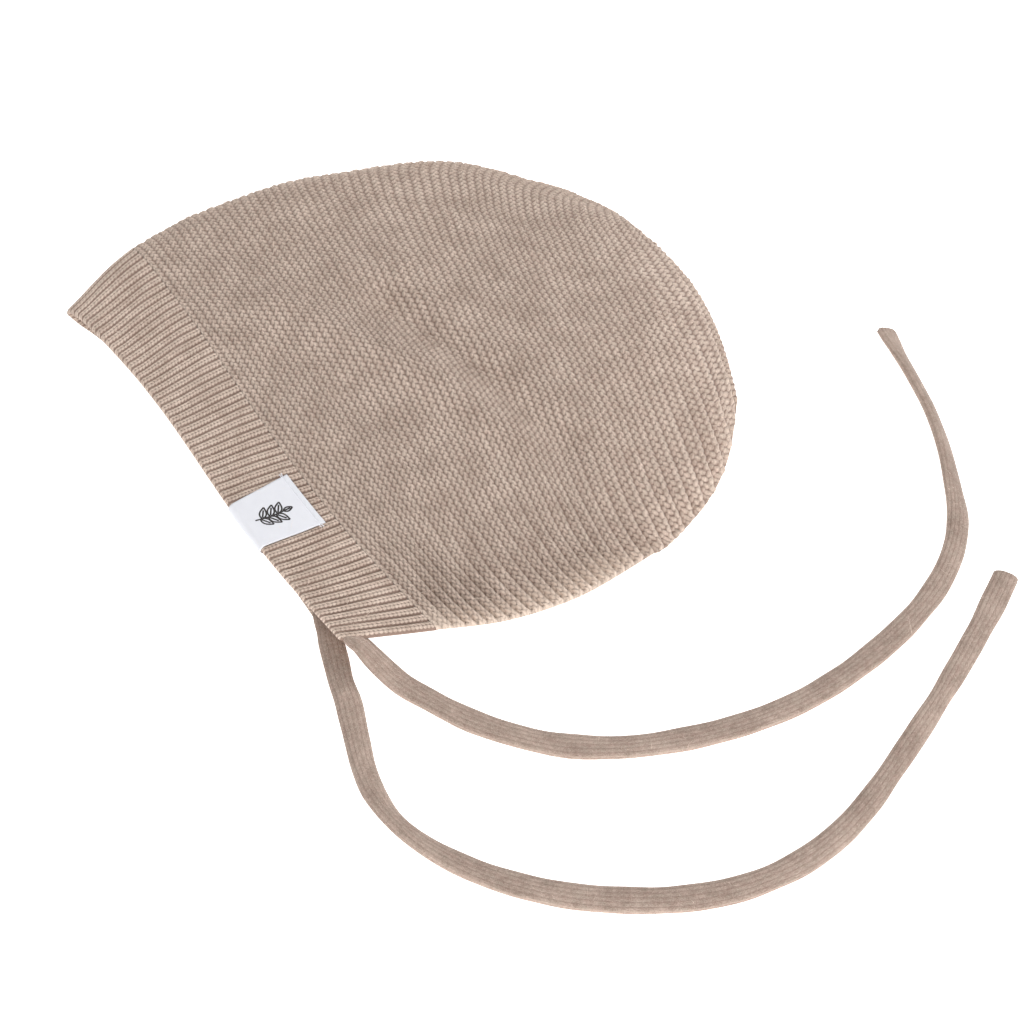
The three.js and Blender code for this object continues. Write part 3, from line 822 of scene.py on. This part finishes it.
def label(corner, material):
    """The label, one sheet folded over the face edge."""
    width_steps = 38
    leaf_steps = 40
    half = LABEL_WIDTH / FACE_EDGE / 2
    across = LABEL_MIDDLE + np.linspace(-half, half, width_steps + 1)
    leaf = np.linspace(0, 1, leaf_steps + 1) ** 1.5
    out = np.concatenate([-leaf[:0:-1] * INNER_LEAF, leaf])
    grid_across, grid_out = np.meshgrid(across, out)
    points = label_point(grid_across, grid_out, label_lift(grid_across, grid_out))
    index = np.arange(points.shape[0] * points.shape[1]).reshape(points.shape[:2])
    uvs = grid_pairs((across - LABEL_MIDDLE) * FACE_EDGE * 1000, out * LABEL_DEPTH * 1000)
    piece = add_mesh("cotton_label", points.reshape(-1, 3) + corner, grid_triangles(index), uvs, material)
    thick = piece.modifiers.new("thickness", "SOLIDIFY")
    thick.thickness = LABEL_THICKNESS
    thick.offset = 0
    return piece


def label_lines(name, lines, width, rise, corner, material):
    """Thin lines on the label's outer leaf. Each line is a list of places in metres, aside from the
    label's middle and out from its front edge."""
    points = []
    faces = []
    for line in lines:
        line = np.array(line, float)
        steps = unit(np.gradient(line, axis=0))
        beside = np.stack([-steps[:, 1], steps[:, 0]], 1)
        rows = []
        for offset, height in ((-0.5, 0.0), (0.0, rise), (0.5, 0.0)):
            place = line + beside * offset * width
            across = LABEL_MIDDLE + place[:, 0] / FACE_EDGE
            out = place[:, 1] / LABEL_DEPTH
            lift = label_lift(across, out) + LABEL_THICKNESS / 2 + INK_CLEARANCE + height
            rows.append(label_point(across, out, lift))
        index = sum(map(len, points)) + np.arange(3 * len(line)).reshape(3, -1)
        faces.append(grid_triangles(index))
        points.append(np.concatenate(rows))
    points = np.concatenate(points)
    uvs = np.zeros((len(points), 2))
    return add_mesh(name, points + corner, np.concatenate(faces), uvs, material)


def sprig_lines():
    """A small sprig: a bent stem with pairs of almond leaves and one at its tip."""
    def at(part):
        return np.array([SPRIG_BEND * math.sin(2.4 * part), SPRIG_START + SPRIG_LENGTH * part])

    lines = [[at(part) for part in np.linspace(0, STEM_SHARE, 16)]]
    leaves = [(STEM_SHARE, 0.0, TIP_LEAF_LENGTH)]
    for part in (0.14, 0.36, 0.58):
        leaves += [(part, LEAF_TURN, LEAF_LENGTH), (part + 0.05, -LEAF_TURN, LEAF_LENGTH)]
    for part, turn, length in leaves:
        root = at(part)
        forward = np.array([math.sin(turn), math.cos(turn)])
        aside = np.array([forward[1], -forward[0]])
        for side in (-1, 1):
            bulge = LEAF_BULGE * length * side
            lines.append([
                root + forward * length * step + aside * bulge * math.sin(math.pi * step ** 0.8)
                for step in np.linspace(0, 1, 12)
            ])
        lines.append([root + forward * length * step for step in np.linspace(0.1, 0.75, 6)])
    return lines


def seam_lines():
    """A double row of sewing thread, whose ends stand out past the label."""
    half = LABEL_WIDTH / 2 + THREAD_END
    places = np.linspace(-half, half, 60)
    rows = []
    for side, start in ((-0.5, 0.0), (0.5, 2.0)):
        wave = THREAD_WAVE * np.sin(places * 2 * np.pi / THREAD_STITCH + start)
        rows.append(np.stack([places, LABEL_SEAM + side * THREAD_GAP + wave], 1))
    return rows


def stray_fibres(sources, material):
    """Fine loose hairs of the wool, standing off the outsides of some pieces."""
    draw = np.random.default_rng(SEED + 8)
    parts = np.linspace(0, 1, FIBRE_POINTS)
    hairs = []
    for source, count in sources:
        vertices = source.data.vertices
        places = np.empty(len(vertices) * 3)
        normals = np.empty(len(vertices) * 3)
        vertices.foreach_get("co", places)
        vertices.foreach_get("normal", normals)
        chosen = draw.integers(0, len(vertices), count)
        roots = places.reshape(-1, 3)[chosen]
        outward = normals.reshape(-1, 3)[chosen]
        aim = unit(outward * FIBRE_OUTWARD + draw.normal(0, FIBRE_SCATTER, (count, 3)))
        curl = draw.normal(0, FIBRE_CURL, (count, 3))
        length = draw.uniform(*FIBRE_LENGTHS, count)
        length = length * np.where(draw.random(count) < LONG_FIBRES, LONG_FIBRE, 1)
        run = (length[:, None] * parts)[:, :, None]
        middle = roots[:, None, :] + run * (aim[:, None, :] + curl[:, None, :] * parts[None, :, None])
        beside = unit(np.cross(aim, draw.normal(0, 1, (count, 3))))[:, None, :]
        half_width = FIBRE_WIDTH / 2 * (1 - FIBRE_TAPER * parts)[None, :, None]
        hairs.append(np.stack([middle - beside * half_width, middle + beside * half_width], 2))
    points = np.concatenate(hairs).reshape(-1, 3)
    points[:, 2] = np.maximum(points[:, 2], OFF_TABLE / 2)
    index = np.arange(len(points)).reshape(-1, FIBRE_POINTS, 2)
    a, b = index[:, :-1, 0].ravel(), index[:, :-1, 1].ravel()
    c, d = index[:, 1:, 1].ravel(), index[:, 1:, 0].ravel()
    faces = np.concatenate([np.stack([a, b, c], 1), np.stack([a, c, d], 1)])
    return add_mesh("stray_fibres", points, faces, np.zeros((len(points), 2)), material)


def feed(tree, slot, value):
    """Gives a node's input a field, another node's output or a plain value."""
    if isinstance(value, Field):
        value = value.socket
    if isinstance(value, bpy.types.NodeSocket):
        tree.links.new(value, slot)
    else:
        slot.default_value = value


def fill(node, values):
    """Sets some of a node's inputs by name."""
    for name, value in values.items():
        node.inputs[name].default_value = value


class Field:
    """A number that varies over a surface: the output socket of a node."""

    def __init__(self, tree, socket):
        self.tree = tree
        self.socket = socket

    def math(self, operation, *others):
        node = self.tree.nodes.new("ShaderNodeMath")
        node.operation = operation
        for slot, value in zip(node.inputs, (self, *others)):
            feed(self.tree, slot, value)
        return Field(self.tree, node.outputs[0])

    def __add__(self, other):
        return self.math("ADD", other)

    def __sub__(self, other):
        return self.math("SUBTRACT", other)

    def __mul__(self, other):
        return self.math("MULTIPLY", other)

    def __truediv__(self, other):
        return self.math("DIVIDE", other)

    __radd__ = __add__
    __rmul__ = __mul__

    def fraction(self):
        return self.math("FRACT")

    def floor(self):
        return self.math("FLOOR")

    def power(self, exponent):
        return self.math("POWER", exponent)

    def cosine(self):
        return self.math("COSINE")

    def size(self):
        return self.math("ABSOLUTE")

    def most(self, other):
        return self.math("MAXIMUM", other)

def new_material(name):
    material = bpy.data.materials.new(name)
    material.use_nodes = True
    tree = material.node_tree
    return material, tree, tree.nodes["Principled BSDF"]


def map_fields(tree, name):
    """The two numbers of one of the piece's maps: counts of stitches, or the distance from the neck
    edge in millimetres and nothing."""
    source = tree.nodes.new("ShaderNodeUVMap")
    source.uv_map = name
    split = tree.nodes.new("ShaderNodeSeparateXYZ")
    tree.links.new(source.outputs[0], split.inputs[0])
    return Field(tree, split.outputs[0]), Field(tree, split.outputs[1])


def noise(tree, across, along, layer, detail, roughness=0.5):
    """Soft noise over the cloth, on a layer of its own."""
    place = tree.nodes.new("ShaderNodeCombineXYZ")
    for slot, value in zip(place.inputs, (across, along, layer)):
        feed(tree, slot, value)
    node = tree.nodes.new("ShaderNodeTexNoise")
    fill(node, {"Scale": 1.0, "Detail": detail, "Roughness": roughness})
    tree.links.new(place.outputs[0], node.inputs["Vector"])
    return Field(tree, node.outputs[0])


def add_bump(tree, shader, height, strength, depth):
    bump = tree.nodes.new("ShaderNodeBump")
    fill(bump, {"Strength": strength, "Distance": depth})
    feed(tree, bump.inputs["Height"], height)
    tree.links.new(bump.outputs[0], shader.inputs["Normal"])


def mixed(tree, amount, low, high):
    """A colour between two others, each a tuple or another mix's socket."""
    node = tree.nodes.new("ShaderNodeMix")
    node.data_type = "RGBA"
    tree.links.new(amount.socket, node.inputs[0])
    for slot, value in ((node.inputs[6], low), (node.inputs[7], high)):
        feed(tree, slot, (*value, 1.0) if isinstance(value, tuple) else value)
    return node.outputs[2]


def stretched(field, low, high):
    """A field rescaled so that low becomes 0 and high becomes 1, held between them."""
    node = field.tree.nodes.new("ShaderNodeMapRange")
    fill(node, {"From Min": low, "From Max": high})
    field.tree.links.new(field.socket, node.inputs[0])
    return Field(field.tree, node.outputs[0])


def finish_knit(tree, shader, across, along, height, bump_depth, low=BEIGE, high=PALE, shade=0.86,
                glow=None):
    """Heathered wool: patches, streaks and flecks of tone, painted shade darkening it between the loops,
    and where glow is given, a painted glow of light. across and along are millimetres on the cloth,
    along the rows of loops and over them."""
    clouds = noise(tree, across * 0.09, along * 0.09, 0.0, 3.0)
    patches = noise(tree, across * 0.42, along * 0.42, 3.0, 2.0, 0.6)
    streaks = noise(tree, across * 0.8, along * 2.6, 7.0, 3.0, 0.7)
    flecks = noise(tree, across * 2.6, along * 2.6, 11.0, 2.0, 0.7)
    hue = noise(tree, across * 0.3, along * 0.5, 17.0, 3.0, 0.65)
    grain = noise(tree, across * 4.4, along * 4.4, 23.0, 1.0, 0.6)
    tone = clouds * 0.6 + patches * 0.5 + streaks * 0.65 + flecks * 0.5 + grain * 0.8
    colour = mixed(tree, stretched(tone, 1.29, 1.75), low, high)
    warmth = mixed(tree, stretched(hue, 0.35, 0.65), GREYISH, PINKISH)
    colour = mixed(tree, flecks * 0.5 + 0.02, colour, warmth)
    # Painted shade between the loops: the colour turns towards a dark taupe where the knit is low, by the
    # amount shade
    hollow_shade = stretched(height + flecks * 0.36 - 0.18, 0.86, 0.3)
    colour = mixed(tree, hollow_shade * shade, colour, PAINTED_LOOP_SHADE)
    # A painted glow of light: the colour turns paler and warmer by the neck edge
    if glow is not None:
        colour = mixed(tree, glow * GLOW, colour, GLOWING)
    tree.links.new(colour, shader.inputs["Base Color"])
    fill(shader, {
        "Roughness": 0.95, "Specular IOR Level": 0.15,
        "Sheen Weight": 0.2, "Sheen Roughness": 0.5, "Sheen Tint": (1.0, 0.93, 0.88, 1.0),
    })
    add_bump(tree, shader, height + flecks * 0.5, 1.0, bump_depth)


def garter_material():
    """Garter stitch: two lines of slanting loops to a ridge, set half a stitch apart."""
    material, tree, shader = new_material("garter_wool")
    u, v = map_fields(tree, "stitches")
    line = v * 2 + 0.5
    way = (line.floor() * 0.5).fraction() * -4 + 1
    aside = line.fraction() - 0.5
    along = (u + way * 0.25 + 0.25).fraction() - 0.5
    along_next = (along + 1).fraction() - 0.5
    side = aside.math("SIGN")
    beside = aside.size() * -1 + 1
    own = along + aside * way * LOOP_SLANT
    other = along_next + beside * side * way * LOOP_SLANT
    shapes = []
    for a, b in ((own, aside), (other, beside)):
        shapes.append((a / LOOP_LENGTH).power(2) * -1 + 1 - (b / LOOP_WIDTH).power(2))
    loops = shapes[0].most(shapes[1]).most(0.0).power(0.5)
    ridge = ((v - 0.25) * (2 * math.pi)).cosine() * 0.5 + 0.5
    height = loops * (1 - RIDGE_SHARE) + ridge * RIDGE_SHARE
    # Distance from the neck edge, for the gathers and for the painted glow of light
    from_neck = map_fields(tree, "rim")[0]
    gathers = (v * math.pi).cosine() * stretched(from_neck, 52.0, 8.0) * 0.2
    finish_knit(tree, shader, u * (STITCH * 1000), v * (RIDGE * 1000), height + gathers, 0.0008,
                glow=stretched(from_neck, GLOW_REACH, 0.0))
    return material


def rib_material():
    """Knit wales with furrows between them: two columns of slanting stitch legs to a wale."""
    material, tree, shader = new_material("rib_wool")
    u, v = map_fields(tree, "stitches")
    off = (u.fraction() - 0.5).size() * 2
    leg = (off - LEG_PLACE) / LEG_WIDTH
    step = (v + off * LEG_SLANT).fraction() - 0.5
    shape = leg.power(2) * -1 + 1 - (step / LEG_LENGTH).power(2) * 0.75
    height = shape.most(0.0).power(0.5)
    finish_knit(tree, shader, v * (RIB_STITCH * 1000), u * (RIB * 1000), height, 0.00034)
    return material


def tie_material():
    """A fine knitted tube: faint wales along it and soft, felted stitches."""
    material, tree, shader = new_material("tie_wool")
    u, v = map_fields(tree, "stitches")
    off = (u.fraction() - 0.5).size() * 2
    wale = off.power(3.0) * -1 + 1
    step = ((v + off * 0.5) * (2 * math.pi)).cosine() * 0.12
    height = wale * 0.75 + step + 0.1
    across = u * (2 * (TIE_WIDTH + TIE_THICKNESS) / TIE_WALES * 1000)
    finish_knit(tree, shader, v * (TIE_STITCH * 1000), across, height, 0.00018, TIE_BEIGE, TIE_PALE, 0.32)
    return material


def plain_material(name, colour, roughness):
    material, _, shader = new_material(name)
    fill(shader, {"Base Color": (*colour, 1.0), "Roughness": roughness})
    return material


def label_material():
    """Fine woven cotton, a little cloudy."""
    material, tree, shader = new_material("label_cotton")
    u, v = map_fields(tree, "stitches")
    threads = 2 * math.pi * LABEL_THREADS
    weave = (u * threads).cosine() * (v * threads).cosine()
    cloud = noise(tree, u * 0.3, v * 0.3, 0.0, 3.0)
    colour = mixed(tree, cloud, LABEL_SHADE, LABEL_WHITE)
    tree.links.new(colour, shader.inputs["Base Color"])
    fill(shader, {"Roughness": 0.75, "Sheen Weight": 0.15})
    add_bump(tree, shader, weave, 0.35, 0.00008)
    return material


def studio():
    """A white table, light from all sides, and two soft lamps: one behind the bonnet on the right
    of the picture, one on the camera's side."""
    scene = bpy.context.scene
    scene.view_settings.view_transform = "Standard"
    world = bpy.data.worlds.new("studio")
    scene.world = world
    world.use_nodes = True
    fill(world.node_tree.nodes["Background"], {"Color": (1.0, 0.99, 0.98, 1.0), "Strength": 0.56})

    mesh = bpy.data.meshes.new("table")
    reach = 3.0
    corners = [(x * reach, y * reach, 0) for x, y in ((-1, -1), (1, -1), (1, 1), (-1, 1))]
    mesh.from_pydata(corners, [], [(0, 1, 2, 3)])
    table = bpy.data.objects.new("table", mesh)
    bpy.context.collection.objects.link(table)
    material, _, shader = new_material("pale_table")
    fill(shader, {
        "Base Color": (0.9, 0.9, 0.9, 1.0), "Roughness": 0.9,
        "Emission Color": (1.0, 0.995, 0.985, 1.0), "Emission Strength": 1.1,
    })
    mesh.materials.append(material)

    for name, place, size, power in (
        ("soft_key", (1.0, 0.65, 1.25), 0.8, 14.0),
        ("soft_fill", (-0.4, -1.3, 0.6), 1.2, 16.0),
    ):
        data = bpy.data.lights.new(name, "AREA")
        data.size = size
        data.energy = power
        light = bpy.data.objects.new(name, data)
        light.location = place
        light.rotation_euler = Vector(place).to_track_quat("Z", "Y").to_euler()
        bpy.context.collection.objects.link(light)


make_camera()
corner = chin_corner()
tie_wool = tie_material()
ties = []
for name, node, route, form in (
    ("knitted_tie_upper", "tie_upper", UPPER_TIE_ROUTE, UPPER_TIE_FORM),
    ("knitted_tie_lower", "tie_lower", LOWER_TIE_ROUTE, LOWER_TIE_FORM),
):
    piece, line, length = tie(name, route, form, corner, tie_wool)
    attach(piece, "root")
    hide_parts(node)
    ties.append(piece)

garter_wool = garter_material()
hairy = []
for name, upper in (("crown_upper_layer", True), ("crown_lower_layer", False)):
    piece = crown_layer(name, upper, corner, garter_wool)
    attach(piece, "root")
    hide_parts("crown")
    hairy.append((piece, UPPER_HAIRS if upper else LOWER_HAIRS))

piece = band(corner, rib_material())
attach(piece, "root")
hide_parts("front_band")
hairy.append((piece, BAND_HAIRS))
hairy += [(ribbon, TIE_HAIRS) for ribbon in ties]

piece = stray_fibres(hairy, plain_material("stray_wool", PALE, 0.9))
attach(piece, "root")

piece = label(corner, label_material())
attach(piece, "root")
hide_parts("label")
for name, lines, width, rise, colour in (
    ("label_sprig", sprig_lines(), INK_WIDTH, INK_RISE, INK),
    ("label_thread", seam_lines(), THREAD_WIDTH, THREAD_RISE, LABEL_WHITE),
):
    piece = label_lines(name, lines, width, rise, corner, plain_material(name, colour, 0.7))
    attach(piece, "root")

studio()
